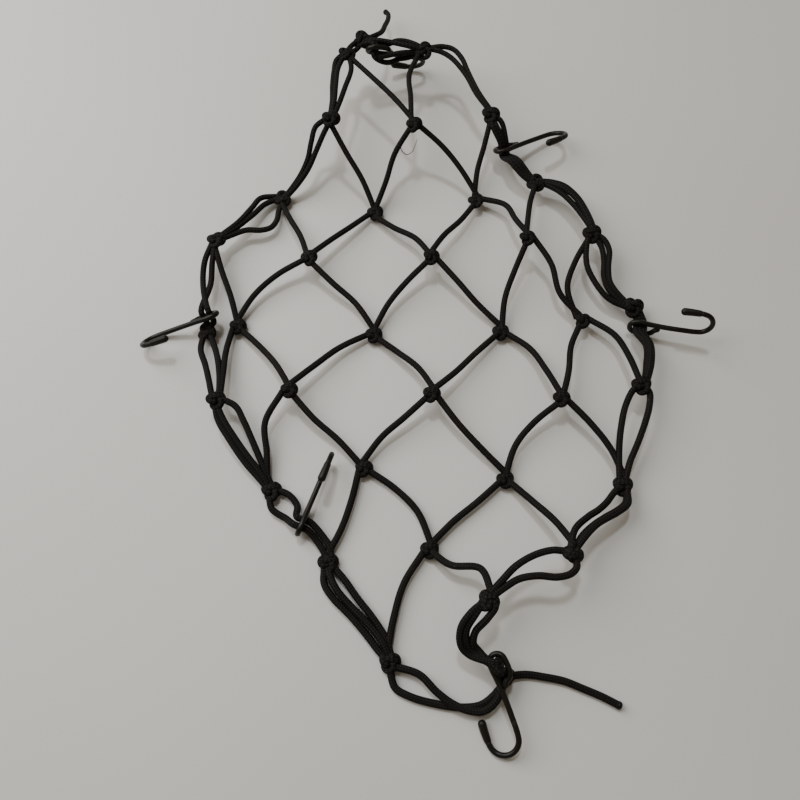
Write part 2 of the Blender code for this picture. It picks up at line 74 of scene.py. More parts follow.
# %% Place the camera
CAMERA_AT = Vector((-15.6, -230.9, 508.4)) * MM
CAMERA_TILT = 20.0       # degrees from straight down, toward the far end
LENS, SENSOR = 38.96, 36.0       # millimetres, as Blender counts them

camera_data = bpy.data.cameras.new("camera")
camera_data.lens = LENS
camera_data.sensor_width = SENSOR
camera = bpy.data.objects.new("camera", camera_data)
camera.location = CAMERA_AT
camera.rotation_euler = (math.radians(CAMERA_TILT), 0.0, 0.0)
bpy.context.scene.collection.objects.link(camera)
bpy.context.scene.camera = camera
print("the camera stands", round(CAMERA_AT.z / MM), "mm above the floor")

# %% [markdown]
# ## Where the knots lie
#
# The net lies slack, so no two of its diamonds are alike, and its shape is a table and not a formula.  Each
# knot has a place, a height and a size.  The mesh knots carry two digits: the first counts along one
# diagonal and the second along the other.  The tables are in millimetres from a point near the net's
# middle, and each mesh is taken to the frame when it is made.

# %% Knots
MIDDLE = Vector((15.3, 46.15, 0.0))     # of the solids' box, which is the frame's origin
MESH_KNOT = 5.2          # radius of a knot in the mesh
BORDER_KNOT = 5.9        # radius of a knot on the border
CORNER_KNOT = 6.4        # radius of the knots at the top and right corners
FLOOR_KNOT_Z = 3.7       # height of the centre of a knot that lies on the floor

Knot = namedtuple("Knot", "name x y z radius", defaults=[BORDER_KNOT])
MESH_KNOTS = [Knot(*row, MESH_KNOT) for row in (
    ("G00", 9, 182, 33), ("G10", 51, 141, 6), ("G20", 82, 104, 20), ("G30", 116, 51, 8),
    ("G01", -17, 133, 0), ("G11", 20, 93, 15), ("G21", 64, 45, 0), ("G31", 98, -4, 14),
    ("G02", -59, 93, 14), ("G12", -17, 43, 0), ("G22", 19, -1, 14), ("G32", 63, -52, 0),
    ("G03", -104, 49, 0), ("G13", -68, 2, 13), ("G23", -22, -45, 0), ("G33", 17, -94, 0),
)]
# round from the top corner by the right side
BORDER_KNOTS = [Knot(*row) for row in (
    ("T", -26, 251, 34, CORNER_KNOT), ("TR0", 16, 243, 33), ("TR1", 61, 196, 25), ("TR2", 91, 151, 12),
    ("TR3", 125, 110, 15), ("R", 149, 60, 9, CORNER_KNOT), ("BR0", 147, 4, 16), ("BR1", 132, -57, 8),
    ("BR2", 97, -99, 22), ("BR3", 48, -126, 25), ("B", 58.3, -164.6, 0, MESH_KNOT), ("BL3", -6, -157, 0),
    ("BL2", -42, -102, 0), ("BL1", -77, -59, 0), ("BL0", -112, -5, 14), ("L", -123, 44.5, 5.5),
    ("TL3", -120, 106, 14), ("TL2", -80, 144, 0), ("TL1", -46, 185, 35), ("TL0", -37, 239, 34),
)]
KNOTS = MESH_KNOTS + BORDER_KNOTS


def knot_spot(knot):
    return Vector((knot.x, knot.y, max(knot.z, FLOOR_KNOT_Z)))


print(len(KNOTS), "knots, the highest", max(knot.z for knot in KNOTS), "mm above the floor")

# %% [markdown]
# ## The cords between the knots
#
# A cord that isn't pulled tight bows between its knots, and its elastic keeps some of the bend it was sold
# with.  Two bows are enough for the S and C curves of a slack mesh: each row says how far the cord stands to
# the left of the straight line between its knots, about a third and two thirds of the way along.  It also
# says how far to the left of each knot's middle the cord goes in, because two cords share each side of it.

# %% Legs of the mesh
Leg = namedtuple("Leg", "start end leave bow_a bow_b arrive")
LEG_AT = (0.35, 0.65)    # where along its line a leg's two bows are measured
LEGS = [Leg(*row) for row in (
    ("TL0", "G00", 0.3, 2, 3, 1.8), ("G00", "G10", 1.9, 6, 6, 2.6), ("G10", "G20", 3, 10.4, 6, 2.2),
    ("G20", "G30", 3.4, 3.6, -2.6, 1.2), ("G30", "BR0", 3.4, 9.5, 6.8, 0),
    ("TL1", "G01", -1.6, -0.3, 1.7, 0.6), ("G01", "G11", -2.2, 0, 3.5, 0.8), ("G11", "G21", 1.9, 2, 1.5, 3),
    ("G21", "G31", 1.6, 7, 5.3, 1.3), ("G31", "BR1", 2, 6.2, 7.2, 3),
    ("TL2", "G02", -1.6, -0.8, 0.7, -0.6), ("G02", "G12", -1.2, 1.3, 4.2, 2),
    ("G12", "G22", -0.4, 3.3, 5.7, 3), ("G22", "G32", 1.9, 0.6, 1.3, 3), ("G32", "BR2", 0.6, 3.2, 5, 3.4),
    ("TL3", "G03", -1.9, -1.4, 0.2, 0.1), ("G03", "G13", -0.2, 2.7, 3.6, 1),
    ("G13", "G23", -0.3, -1.2, 0.6, 0), ("G23", "G33", 0.5, 7, 8.6, 2.1), ("G33", "BR3", -0.5, 1.5, 11, 3.6),
    ("TR0", "G00", -1.9, -7.6, -4.6, -1.8), ("G00", "G01", -1, -4.1, -2, -0.8),
    ("G01", "G02", -1.6, -1.7, -2, -1.5), ("G02", "G03", -0.7, -7, -8, -2.7),
    ("G03", "BL0", -2.7, -2.9, -0.7, 1.8),
    ("TR1", "G10", 0.6, -0.8, -2.6, -1.5), ("G10", "G11", 0.4, 0, -2.6, -2.2),
    ("G11", "G12", 0.2, -3.5, -4.6, -1.4), ("G12", "G13", -2.1, -5.5, -4.7, -2.9),
    ("G13", "BL1", -3.4, -11.2, -6.8, -2.6),
    ("TR2", "G20", 0, -1.9, -1.8, -1.1), ("G20", "G21", 0.4, -2.3, -3.4, 0.4),
    ("G21", "G22", -0.5, -0.8, -0.4, -1.7), ("G22", "G23", -0.6, -2.8, -5, -3),
    ("G23", "BL2", -2.6, -0.3, 0, -2.8),
    ("TR3", "G30", -0.6, -9, -12, -3.4), ("G30", "G31", -0.7, -2.9, -0.3, 0.4),
    ("G31", "G32", 0.8, -5.4, -6.8, -0.8), ("G32", "G33", -1.2, -1.6, -2.7, -1.6),
    ("G33", "BL3", -2.2, -7.4, -6.3, -2.3),
)]
print(len(LEGS), "legs in the mesh")

# %% [markdown]
# ## The border
#
# The border is two to four cords between each two knots, and where a hook hangs they run through its eye.
# Each row says how far the cord's middle stands above the straight line, and its bows as pairs: how far along
# the line, and how far to its left.  A cord that threads a hook names it last.

# %% Border cords and free ends
Edge = namedtuple("Edge", "start end lift bows hook", defaults=[None])
EDGES = [Edge(*row) for row in (
    ("TL0", "T", 1, [(0.35, 1.5), (0.65, 1.5)]), ("TL0", "T", -1, [(0.35, -1.5), (0.65, -1.5)]),
    ("T", "TR0", 1, [(0.42, -0.4), (0.54, 3.3), (0.68, 4.4), (0.84, 3.2)]),
    ("T", "TR0", -6, [(0.36, -10), (0.49, -9.4), (0.61, -5.6), (0.75, -3)], "hook_top"),
    ("T", "TR0", -1, [(0.47, -7.8), (0.64, -4.4), (0.8, -2.4)], "hook_top"),
    ("T", "TR0", 3, [(0.25, -0.6), (0.45, -0.4), (0.75, -1)]),
    ("TR0", "TR1", 0, [(0.09, 12), (0.19, 16.4), (0.33, 15.8), (0.47, 12), (0.72, 6)]),
    ("TR0", "TR1", 0, [(0.12, 8.2), (0.26, 10.6), (0.5, 8.8), (0.72, 4.2)]),
    ("TR1", "TR2", 0, [(0.15, -3.6), (0.62, -6.9), (0.84, -5)], "hook_upper_right"),
    ("TR1", "TR2", 0, [(0.15, -1), (0.64, -4.4), (0.84, -2.9)], "hook_upper_right"),
    ("TR1", "TR2", 0, [(0.14, 3.6), (0.64, -1.7), (0.84, -0.8)], "hook_upper_right"),
    ("TR2", "TR3", 1, [(0.12, 7.6), (0.27, 12), (0.5, 12.2), (0.74, 8.6)]),
    ("TR2", "TR3", 2, [(0.28, 9.4), (0.5, 10.4), (0.77, 6.4)]),
    ("TR2", "TR3", 0, [(0.28, 6.9), (0.52, 7), (0.78, 4.6)]),
    ("TR3", "R", 0, [(0.12, -8), (0.32, -13.6), (0.55, -14.5), (0.78, -12)]),
    ("TR3", "R", 0, [(0.18, 1.2), (0.35, -1.9), (0.52, -7.2), (0.7, -8.8)]),
    ("TR3", "R", 1, [(0.13, 4.8), (0.27, 4.2), (0.46, -2.3), (0.64, -6.2)]),
    ("R", "BR0", 0, [(0.5, 5.2), (0.75, 4)], "hook_right"),
    ("R", "BR0", 2.2, [(0.5, 6.8), (0.75, 5.5)], "hook_right"),
    ("R", "BR0", 0, [(0.5, 8.3), (0.75, 7)], "hook_right"),
    ("BR0", "BR1", 0, [(0.08, -5), (0.25, -7.4), (0.48, -7.4), (0.72, -5.6)]),
    ("BR0", "BR1", 0, [(0.06, 5.5), (0.2, 6.7), (0.36, 5.9), (0.56, 4), (0.76, 1.5)]),
    ("BR1", "BR2", 0, [(0.13, -1.8), (0.28, -1.8), (0.42, -3), (0.55, -5.2), (0.77, -6.9)]),
    ("BR1", "BR2", -1.8, [(0.13, 7), (0.28, 5.6), (0.43, 2.6), (0.57, 0.2), (0.75, -1.4)]),
    ("BR1", "BR2", 1.8, [(0.15, 8.1), (0.3, 6.6), (0.44, 3.7), (0.58, 1.1), (0.76, 0)]),
    ("BR2", "BR3", 0, [(0.06, -2.9), (0.17, -6.8), (0.36, -9.3), (0.58, -9), (0.78, -5.8)]),
    ("BR2", "BR3", 0, [(0.05, 7.9), (0.14, 9.3), (0.27, 7.3), (0.44, 1.3), (0.62, -2.1), (0.8, -1.8)]),
    ("BR3", "B", 3, [(0.1, -11.4), (0.25, -18.3), (0.45, -20.4), (0.6, -17.2)], "hook_bottom"),
    ("BR3", "B", 3, [(0.13, -9), (0.28, -15.4), (0.45, -17), (0.58, -14.6)], "hook_bottom"),
    ("BR3", "B", 3, [(0.09, 3), (0.22, -3), (0.34, -11), (0.48, -13.6), (0.58, -11.8)], "hook_bottom"),
    ("B", "BL3", -1.4, [(0.09, 11), (0.19, 16.5), (0.36, 19), (0.62, 18.5), (0.8, 16.6), (0.93, 13)]),
    ("B", "BL3", 1.8, [(0.07, 14), (0.16, 19.4), (0.27, 20.3), (0.42, 18), (0.57, 12.8), (0.74, 4.6)]),
    ("BL3", "BL2", 0, [(0.13, 1.9), (0.3, 3), (0.5, 4.9), (0.73, 8.1), (0.87, 8)]),
    ("BL3", "BL2", 1.5, [(0.17, -2.4), (0.38, -0.9), (0.55, 1.6), (0.75, 3.8), (0.88, 3.1)]),
    ("BL3", "BL2", 0, [(0.18, -5), (0.39, -5), (0.6, -3.6), (0.8, -2.9)]),
    ("BL2", "BL1", 0, [(0.14, -2.2), (0.26, -2.8), (0.66, 3.2), (0.84, 6.3)], "hook_lower_left"),
    ("BL2", "BL1", 0, [(0.13, -6.5), (0.25, -7.2), (0.7, -6.6), (0.85, -6.6)], "hook_lower_left"),
    ("BL1", "BL0", 0, [(0.14, 2.2), (0.37, 4.6), (0.62, 5.4), (0.82, 5.2)]),
    ("BL1", "BL0", 1, [(0.16, -0.2), (0.4, 1.5), (0.62, 2.3), (0.8, 2.4)]),
    ("BL1", "BL0", 0, [(0.24, -3.4), (0.49, -5.8), (0.7, -7.6), (0.86, -8)]),
    ("BL0", "L", 0, [(0.1, 2.2), (0.3, 2.9), (0.52, 3.8), (0.76, 5.4)]),
    ("BL0", "L", 0, [(0.19, -3.1), (0.48, -4.3), (0.72, -3.6)]),
    ("L", "TL3", 0, [(0.52, 5.8), (0.76, 6.1)], "hook_left"),
    ("L", "TL3", 0, [(0.52, 0.8), (0.76, 1.2)], "hook_left"),
    ("TL3", "TL2", 1, [(0.37, 2.2), (0.62, 6), (0.8, 8.6)]),
    ("TL3", "TL2", 0, [(0.35, 0.2), (0.59, 1.8), (0.78, 3.6)]),
    ("TL3", "TL2", -1, [(0.2, -2.4), (0.37, -5), (0.5, -10.8), (0.62, -13.2), (0.74, -11), (0.87, -5)]),
    ("TL2", "TL1", 0, [(0.3, -2.4), (0.51, -0.8), (0.68, 3.4), (0.84, 6.4)]),
    ("TL2", "TL1", 0, [(0.2, -3.9), (0.43, -4.8), (0.65, -2.8), (0.84, -1)]),
    ("TL1", "TL0", 0, [(0.28, 2), (0.5, 4.2), (0.7, 5.4), (0.88, 5.7)]),
    ("TL1", "TL0", 1, [(0.28, 0.4), (0.5, 1.9), (0.75, 3)]),
    ("TL1", "TL0", 0, [(0.22, -2.9), (0.5, -4.5), (0.78, -5.7)]),
)]

# the cord's two free ends, as the points that each passes on its way from its knot
FREE_ENDS = {
    "T": [(-17.5, 255, 34), (-13, 263, 29), (-11, 273, 24), (-9, 284, 18), (-9, 294, 13), (-11, 298, 11)],
    "B": [(70, -163.5, 2), (81, -165, 2), (91, -167, 2), (100, -170.5, 2), (111, -175, 2), (121, -180, 2)],
}
print(len(EDGES), "border cords and", len(FREE_ENDS), "free ends")

# %% [markdown]
# ## The hooks
#
# Each hook is one bent wire: a closed eye, a shank and an open bend.  One shape serves all six, and each row
# says where the top of its eye is, how the hook is turned and how long it is over the shape's own length,
# because hooks bent by hand differ a little.  Spacing is that of the cords in its eye, over their diameter.
# Every point of a hook's shape is measured along the hook's own three directions.

# %% Hook places and directions
WIRE = 3.3               # hook wire over its coating
SEAT_GAP = 0.5           # between a threaded cord and the top of the eye

Hook = namedtuple("Hook", "name x y z heading pitch roll size spacing")
HOOKS = {row[0]: Hook(*row) for row in (
    ("hook_top", -23.8, 242.4, 32.5, 11.9, -21.4, 290, 0.96, 0.66),
    ("hook_upper_right", 67.8, 172.2, 16.5, 32.2, -13.7, 142, 1.0, 0.66),
    ("hook_right", 145.8, 49.2, 11.7, -11.5, 1.2, 71, 0.99, 0.66),
    ("hook_bottom", 47.5, -154.7, 12.6, -68.4, -6.4, 198.9, 1.06, 0.66),
    ("hook_lower_left", -58.8, -84.9, 12.5, 71.1, -11.1, 101.1, 1.0, 1.2),
    ("hook_left", -116.8, 50.2, 16.8, 190.3, -20.2, 48, 1.0, 1.2),
)}


def hook_axes(hook):
    """The shank's direction, the side that its bend opens to, and the plane's normal."""
    heading, pitch, roll = (math.radians(turn) for turn in hook[4:7])
    ahead = Vector((math.cos(heading), math.sin(heading), 0.0))
    level = Vector((-math.sin(heading), math.cos(heading), 0.0))
    along = ahead * math.cos(pitch) + Vector((0.0, 0.0, math.sin(pitch)))
    side = level * math.cos(roll) + along.cross(level) * math.sin(roll)
    return along, side, along.cross(side)


def on_hook(hook, along_by, side_by):
    along, side, normal = hook_axes(hook)
    return Vector(hook[1:4]) + along * along_by + side * side_by


print("six hooks, the lowest eye", min(hook.z for hook in HOOKS.values()), "mm above the floor")

# %% [markdown]
# ## A smooth line through a few stops
#
# Every cord is a smooth line through its stops.  A Catmull-Rom curve passes through each stop, and with its
# parameter growing with the root of the distance it doesn't swing out between stops that lie close together.
# The line is then read again at even steps, so that the braid on it later has one scale everywhere.

# %% Smooth lines
def smooth_points(route, steps):
    """Reads a smooth curve through the route's stops, with so many steps between each two."""
    padded = [2 * route[0] - route[1], *route, 2 * route[-1] - route[-2]]
    points = []
    for before, start, end, after in zip(padded, padded[1:], padded[2:], padded[3:]):
        t1 = math.sqrt((start - before).length)
        t2 = t1 + math.sqrt((end - start).length)
        t3 = t2 + math.sqrt((after - end).length)
        for step in range(steps):
            t = t1 + (t2 - t1) * step / steps
            middle = start.lerp(end, (t - t1) / (t2 - t1))
            early = before.lerp(start, t / t1).lerp(middle, t / t2)
            late = middle.lerp(end.lerp(after, (t - t2) / (t3 - t2)), (t - t1) / (t3 - t1))
            points.append(early.lerp(late, (t - t1) / (t2 - t1)))
    return [*points, route[-1]]


def reach_along(line):
    """How far along the line each of its points is."""
    steps = np.linalg.norm(np.diff(line, axis=0), axis=1)
    return np.concatenate([[0.0], np.cumsum(steps)])


def even_points(points, spacing):
    """The same line with its points an even distance apart, as an array."""
    line = np.array(points, float)
    reach = reach_along(line)
    count = max(int(round(reach[-1] / spacing)), 4)
    wanted = np.linspace(0.0, reach[-1], count + 1)
    return np.stack([np.interp(wanted, reach, line[:, axis]) for axis in range(3)], 1)


# %% [markdown]
# ## The way of every strand
#
# A strand starts inside one knot, passes its bows, goes square through a hook's eye if it has one, and ends
# inside the next knot.  Where several strands share an eye, each has its own place in the row.

# %% Cord sizes
CORD_TAUT = 3.5          # cord diameter at the net's far end, where it is stretched
CORD_SLACK = 4.3         # cord diameter at its near end, where it has gone slack
TOP_Y, BOTTOM_Y = 245.0, -165.0


def slackness(y):
    """How slack the elastic is there: 0 at the far end, 1 at the near end."""
    return min(max((TOP_Y - y) / (TOP_Y - BOTTOM_Y), 0.0), 1.0)


def cord_radius(y):
    return (CORD_TAUT + (CORD_SLACK - CORD_TAUT) * slackness(y)) / 2


print("the cord is", CORD_TAUT, "to", CORD_SLACK, "mm thick")

# %% Stops of a strand
STRAND_INSET = 1.2       # how far from a knot's centre a strand ends
STRAND_SPREAD = 0.3      # how far aside a border strand ends, over its nearest bow
MOST_SPREAD = 2.6        # millimetres, to either side
BUNDLE_SIDE = 4.4        # from the shank's line to the middle of the cords in an eye
BUNDLE_STAGGER = 0.1     # how far they lie to each side of that middle
EYE_RUN = 4.4            # how far a threaded cord runs straight each side of its eye
spots = {knot.name: knot_spot(knot) for knot in KNOTS}
threaded = dict.fromkeys(HOOKS, 0)


def to_the_left(start, end):
    line = end - start
    return Vector((-line.y, line.x, 0.0)).normalized()


def eye_stops(hook, start, end, place):
    """Three stops that carry a strand square through a hook's eye, at its place in the row of cords."""
    normal = hook_axes(hook)[2]
    radius = cord_radius(hook.y)
    along_by = WIRE / 2 + SEAT_GAP + radius * (1 + 2 * hook.spacing * place)
    stagger = BUNDLE_STAGGER * (1 if place % 2 else -1)
    middle = on_hook(hook, along_by, stagger - BUNDLE_SIDE)
    line = end - start
    onward = normal if normal.dot(line) > 0 else -normal
    at = (middle - start).dot(line) / line.length_squared
    step = EYE_RUN / line.length
    return [(at - step, middle - onward * EYE_RUN), (at, middle), (at + step, middle + onward * EYE_RUN)]


def spread(bow):
    """How far aside a border strand ends inside its knot, from its nearest bow."""
    return min(max(bow * STRAND_SPREAD, -MOST_SPREAD), MOST_SPREAD)


def strand_route(start_name, end_name, leave, arrive, bows, lift=0.0, hook_name=None):
    """A strand's stops from inside one knot to inside the next."""
    start, end = spots[start_name], spots[end_name]
    left = to_the_left(start, end)
    stops = [(at, start.lerp(end, at) + left * bow + Vector((0, 0, lift))) for at, bow in bows]
    if hook_name:
        stops += eye_stops(HOOKS[hook_name], start, end, threaded[hook_name])
        threaded[hook_name] += 1
    stops = [spot for at, spot in sorted(stops, key=lambda stop: stop[0])]
    first = start + (stops[0] - start).normalized() * STRAND_INSET + left * leave
    last = end + (stops[-1] - end).normalized() * STRAND_INSET + left * arrive
    return [first, *stops, last]


# %% Strand routes
leg_routes, edge_routes = [], []
for leg in LEGS:
    bows = list(zip(LEG_AT, (leg.bow_a, leg.bow_b)))
    leg_routes.append(strand_route(leg.start, leg.end, leg.leave, leg.arrive, bows))
for edge in EDGES:
    leave, arrive = spread(edge.bows[0][1]), spread(edge.bows[-1][1])
    edge_routes.append(strand_route(edge.start, edge.end, leave, arrive, edge.bows, edge.lift, edge.hook))
end_routes = {}
for knot_name, points in FREE_ENDS.items():
    stops = [Vector(point) for point in points]
    first = spots[knot_name] + (stops[0] - spots[knot_name]).normalized() * STRAND_INSET
    end_routes[knot_name] = [first, *stops]
print("threaded cords per hook:", threaded)

# %% [markdown]
# ## A round cord as a mesh
#
# A curve with a bevel makes a round cord at once, but its texture runs from 0 to 1 on every spline, so a
# short cord would get a finer braid than a long one.  Here the rings are placed in code instead.  A frame is
# carried along the line without twisting, each ring of points stands across it, and the UV map counts braid
# cells: U goes once round the cord, and V grows with the length and with how slack the elastic is.  A slack
# braid is shorter and steeper than a stretched one, so it has more cells to the millimetre.

# %% Cord meshes
CORD_SIDES = 18
RING_SPACING = 1.1       # millimetres between rings on a cord
YARNS = 8                # yarns of each family round the cord
BRAID_TAUT, BRAID_SLACK = 0.55, 1.05     # rise of the braid's yarns: 1 is 45 degrees
UNEVEN = 0.025           # how much a cord's radius wanders, over its radius
UNEVEN_STEP = 9.0        # millimetres between the thick and thin places
SEED_STEP = 3.7          # how far apart two cords read the same noise
UPRIGHT = 0.1            # a line whose level part is shorter than this counts as upright
START_FAN = 0.2          # how far the first end stands out, over a ring's spacing
FLOOR_CLEAR = 0.02       # millimetres between the lowest point and the floor
SHEATH_MAP = "sheath"


def unit(vector):
    return vector / np.linalg.norm(vector)


class CordMesh:
    """Gathers tubes and makes one mesh of them, with the sheath's UV map."""

    def __init__(self):
        self.points, self.faces, self.maps = [], [], []

    def tube(self, line, radii, sides=CORD_SIDES, rise=1.0, closed=False):
        """Adds a tube along the line; line and radii are in millimetres, rise is the braid's."""
        line = np.asarray(line, float)
        radii = np.broadcast_to(np.asarray(radii, float), len(line))
        rings, across = carried_frames(line, closed)
        turns = np.linspace(0, 2 * math.pi, sides, endpoint=False)
        circle = np.cos(turns)[None, :, None] * rings[:, None]
        circle = circle + np.sin(turns)[None, :, None] * across[:, None]
        shell = line[:, None] + circle * radii[:, None, None]
        base = len(self.points)
        self.points.extend(map(tuple, shell.reshape(-1, 3)))
        steps = np.linalg.norm(np.diff(line, axis=0, append=line[:1]), axis=1)
        lengths = np.concatenate([[0.0], np.cumsum(steps)])
        cells = lengths / (2 * math.pi * radii.mean()) * rise
        if closed:
            # a whole number of yarns, so that the braid meets itself
            cells *= max(round(cells[-1] * YARNS), 1) / YARNS / cells[-1]
        last = len(line) if closed else len(line) - 1
        for ring in range(last):
            here = base + ring * sides
            there = base + (ring + 1) % len(line) * sides
            for side in range(sides):
                beside = (side + 1) % sides
                self.faces.append((here + side, here + beside, there + beside, there + side))
                u_here, u_next = side / sides, (side + 1) / sides
                self.maps += [(u_here, cells[ring]), (u_next, cells[ring]),
                              (u_next, cells[ring + 1]), (u_here, cells[ring + 1])]
        if not closed:
            self.close_end(base, sides, line[0] - (line[1] - line[0]) * START_FAN, cells[0], True)
            self.close_end(base + (len(line) - 1) * sides, sides, line[-1], cells[last], False)

    def close_end(self, base, sides, middle, cell, reverse):
        """Closes a tube's end with a fan of triangles round its middle."""
        tip = len(self.points)
        self.points.append(tuple(middle))
        for side in range(sides):
            pair = (base + side, base + (side + 1) % sides)
            self.faces.append((tip, pair[1], pair[0]) if reverse else (tip, pair[0], pair[1]))
            self.maps += [(side / sides, cell)] * 3

    def make(self, name, material):
        """Makes the object; no point of it goes below the floor."""
        places = np.array(self.points)
        places[:, 2] = np.maximum(places[:, 2], FLOOR_CLEAR)
        mesh = bpy.data.meshes.new(name)
        mesh.from_pydata(((places - np.array(MIDDLE)) * MM).tolist(), [], self.faces)
        layer = mesh.uv_layers.new(name=SHEATH_MAP)
        layer.uv.foreach_set("vector", np.array(self.maps, np.float32).ravel())
        mesh.shade_smooth()
        mesh.validate()
        mesh.materials.append(material)
        thing = bpy.data.objects.new(name, mesh)
        bpy.context.scene.collection.objects.link(thing)
        triangles = sum(len(face) - 2 for face in self.faces)
        print(f"{name}: {triangles} triangles")
        return thing


# %% Frames and radii along a cord
def carried_frames(line, closed):
    """Two directions across the line at each of its points, carried along it without twisting."""
    if closed:
        ahead = np.roll(line, -1, 0) - np.roll(line, 1, 0)
    else:
        ahead = np.gradient(line, axis=0)
    ahead /= np.linalg.norm(ahead, axis=1)[:, None]
    first = np.cross(ahead[0], (0.0, 0.0, 1.0))
    if np.linalg.norm(first) < UPRIGHT:
        first = np.cross(ahead[0], (0.0, 1.0, 0.0))
    rings = [unit(first)]
    for direction in ahead[1:]:
        rings.append(unit(rings[-1] - direction * rings[-1].dot(direction)))
    rings = np.array(rings)
    across = np.cross(ahead, rings)
    if closed:
        # the frame comes back turned, so the turn is shared out along the line
        back = rings[-1] - ahead[0] * rings[-1].dot(ahead[0])
        turn = math.atan2(back.dot(across[0]), back.dot(rings[0]))
        share = -turn * np.arange(len(line)) / len(line)
        turned = np.cos(share)[:, None] * rings + np.sin(share)[:, None] * across
        across = np.cross(ahead, turned)
        rings = turned
    return rings, across


def uneven(line, radius, seed):
    """The cord's radius at each point of its line, a little thick and thin by turns."""
    along = np.arange(len(line)) * RING_SPACING / UNEVEN_STEP
    wander = np.array([noise.noise(Vector((step, seed * SEED_STEP, 0.0))) for step in along])
    return radius * (1 + UNEVEN * wander)


# %% [markdown]
# ## Shared effects: braid, lint and grain
#
# An effect that several finishes use is a node group, made once.  The braid group turns the UV map into the
# height of a braided sheath: two families of yarns wind round the cord in opposite ways, and a checkerboard
# says which one passes on top.  Each yarn is round across and dips where it goes under.
# A second output is full in the low grooves between the yarns, and the finishes darken them with it as
# painted shade.

# %% Node helpers
def new_group(name, inputs, outputs):
    """An empty node group with named sockets; inputs are (name, kind, default)."""
    group = bpy.data.node_groups.new(name, "ShaderNodeTree")
    for title, kind, default in inputs:
        socket = group.interface.new_socket(name=title, in_out="INPUT", socket_type=kind)
        if default is not None:
            socket.default_value = default
    for title, kind in outputs:
        group.interface.new_socket(name=title, in_out="OUTPUT", socket_type=kind)
    entry = group.nodes.new("NodeGroupInput")
    result = group.nodes.new("NodeGroupOutput")
    return group, entry, result


def feed(tree, socket, value):
    """Links another socket into this one, or sets its value; None leaves it alone."""
    if isinstance(value, bpy.types.NodeSocket):
        tree.links.new(value, socket)
    elif value is not None:
        socket.default_value = value


def maths(tree, operation, first, second=None):
    node = tree.nodes.new("ShaderNodeMath")
    node.operation = operation
    feed(tree, node.inputs[0], first)
    feed(tree, node.inputs[1], second)
    return node.outputs[0]


# %% Texture helpers
def noise_field(tree, vector, scale, detail=2.0, roughness=0.5):
    node = tree.nodes.new("ShaderNodeTexNoise")
    feed(tree, node.inputs["Vector"], vector)
    feed(tree, node.inputs["Scale"], scale)
    node.inputs["Detail"].default_value = detail
    node.inputs["Roughness"].default_value = roughness
    return node.outputs["Fac"]


def ramp(tree, value, low, high, low_to=0.0, high_to=1.0):
    """The value's range from low to high, stretched to a new range and held at its ends."""
    node = tree.nodes.new("ShaderNodeMapRange")
    node.interpolation_type = "SMOOTHSTEP"
    for title, number in (("Value", value), ("From Min", low), ("From Max", high),
                          ("To Min", low_to), ("To Max", high_to)):
        feed(tree, node.inputs[title], number)
    return node.outputs["Result"]


def mix_colour(tree, share, first, second):
    node = tree.nodes.new("ShaderNodeMix")
    node.data_type = "RGBA"
    feed(tree, node.inputs["Factor"], share)
    feed(tree, node.inputs["A"], first)
    feed(tree, node.inputs["B"], second)
    return node.outputs["Result"]


# %% The braid group
ROUND, DIP = 0.75, 0.3   # how full a yarn is across, and how gently it dips along its way
GROOVE_SHADE_FROM, GROOVE_SHADE_TO = 0.15, 0.6       # heights where the painted shade in the grooves is full and where it ends

braid, entry, result = new_group(
    "braided sheath",
    [("Map", "NodeSocketVector", None), ("Yarns", "NodeSocketFloat", 8.0)],
    [("Height", "NodeSocketFloat"), ("Groove shade", "NodeSocketFloat"), ("Family", "NodeSocketFloat")])
split = braid.nodes.new("ShaderNodeSeparateXYZ")
braid.links.new(entry.outputs["Map"], split.inputs[0])
around = maths(braid, "MULTIPLY", split.outputs["X"], entry.outputs["Yarns"])
along = maths(braid, "MULTIPLY", split.outputs["Y"], entry.outputs["Yarns"])
right_hand = maths(braid, "ADD", around, along)
left_hand = maths(braid, "SUBTRACT", around, along)
crest = []
for winding in (right_hand, left_hand):
    centred = maths(braid, "SUBTRACT", maths(braid, "FRACT", winding), 0.5)
    crest.append(maths(braid, "COSINE", maths(braid, "MULTIPLY", centred, math.pi)))
cell = maths(braid, "ADD", maths(braid, "FLOOR", right_hand), maths(braid, "FLOOR", left_hand))
family = maths(braid, "ABSOLUTE", maths(braid, "MODULO", cell, 2.0))


def on_top(own, other):
    """The height of a yarn that passes over the other family's."""
    return maths(braid, "MULTIPLY", maths(braid, "POWER", own, ROUND), maths(braid, "POWER", other, DIP))


chosen = braid.nodes.new("ShaderNodeMix")
feed(braid, chosen.inputs["Factor"], family)
feed(braid, chosen.inputs["A"], on_top(crest[0], crest[1]))
feed(braid, chosen.inputs["B"], on_top(crest[1], crest[0]))
height = chosen.outputs["Result"]
braid.links.new(height, result.inputs["Height"])
# a mask for painted shade, full in the low grooves between the yarns
braid.links.new(ramp(braid, height, GROOVE_SHADE_FROM, GROOVE_SHADE_TO, 1.0, 0.0), result.inputs["Groove shade"])
braid.links.new(family, result.inputs["Family"])
print("braid group:", len(braid.nodes), "nodes")

# %% [markdown]
# Lint and dust settle on anything that has lain on a car or in a garage.  The lint group scatters small pale
# specks and a faint uneven film, both from noise in object space, so that they don't follow the braid.

# %% The lint group
PATCH_SCALE = 45.0       # patches of dust to the metre

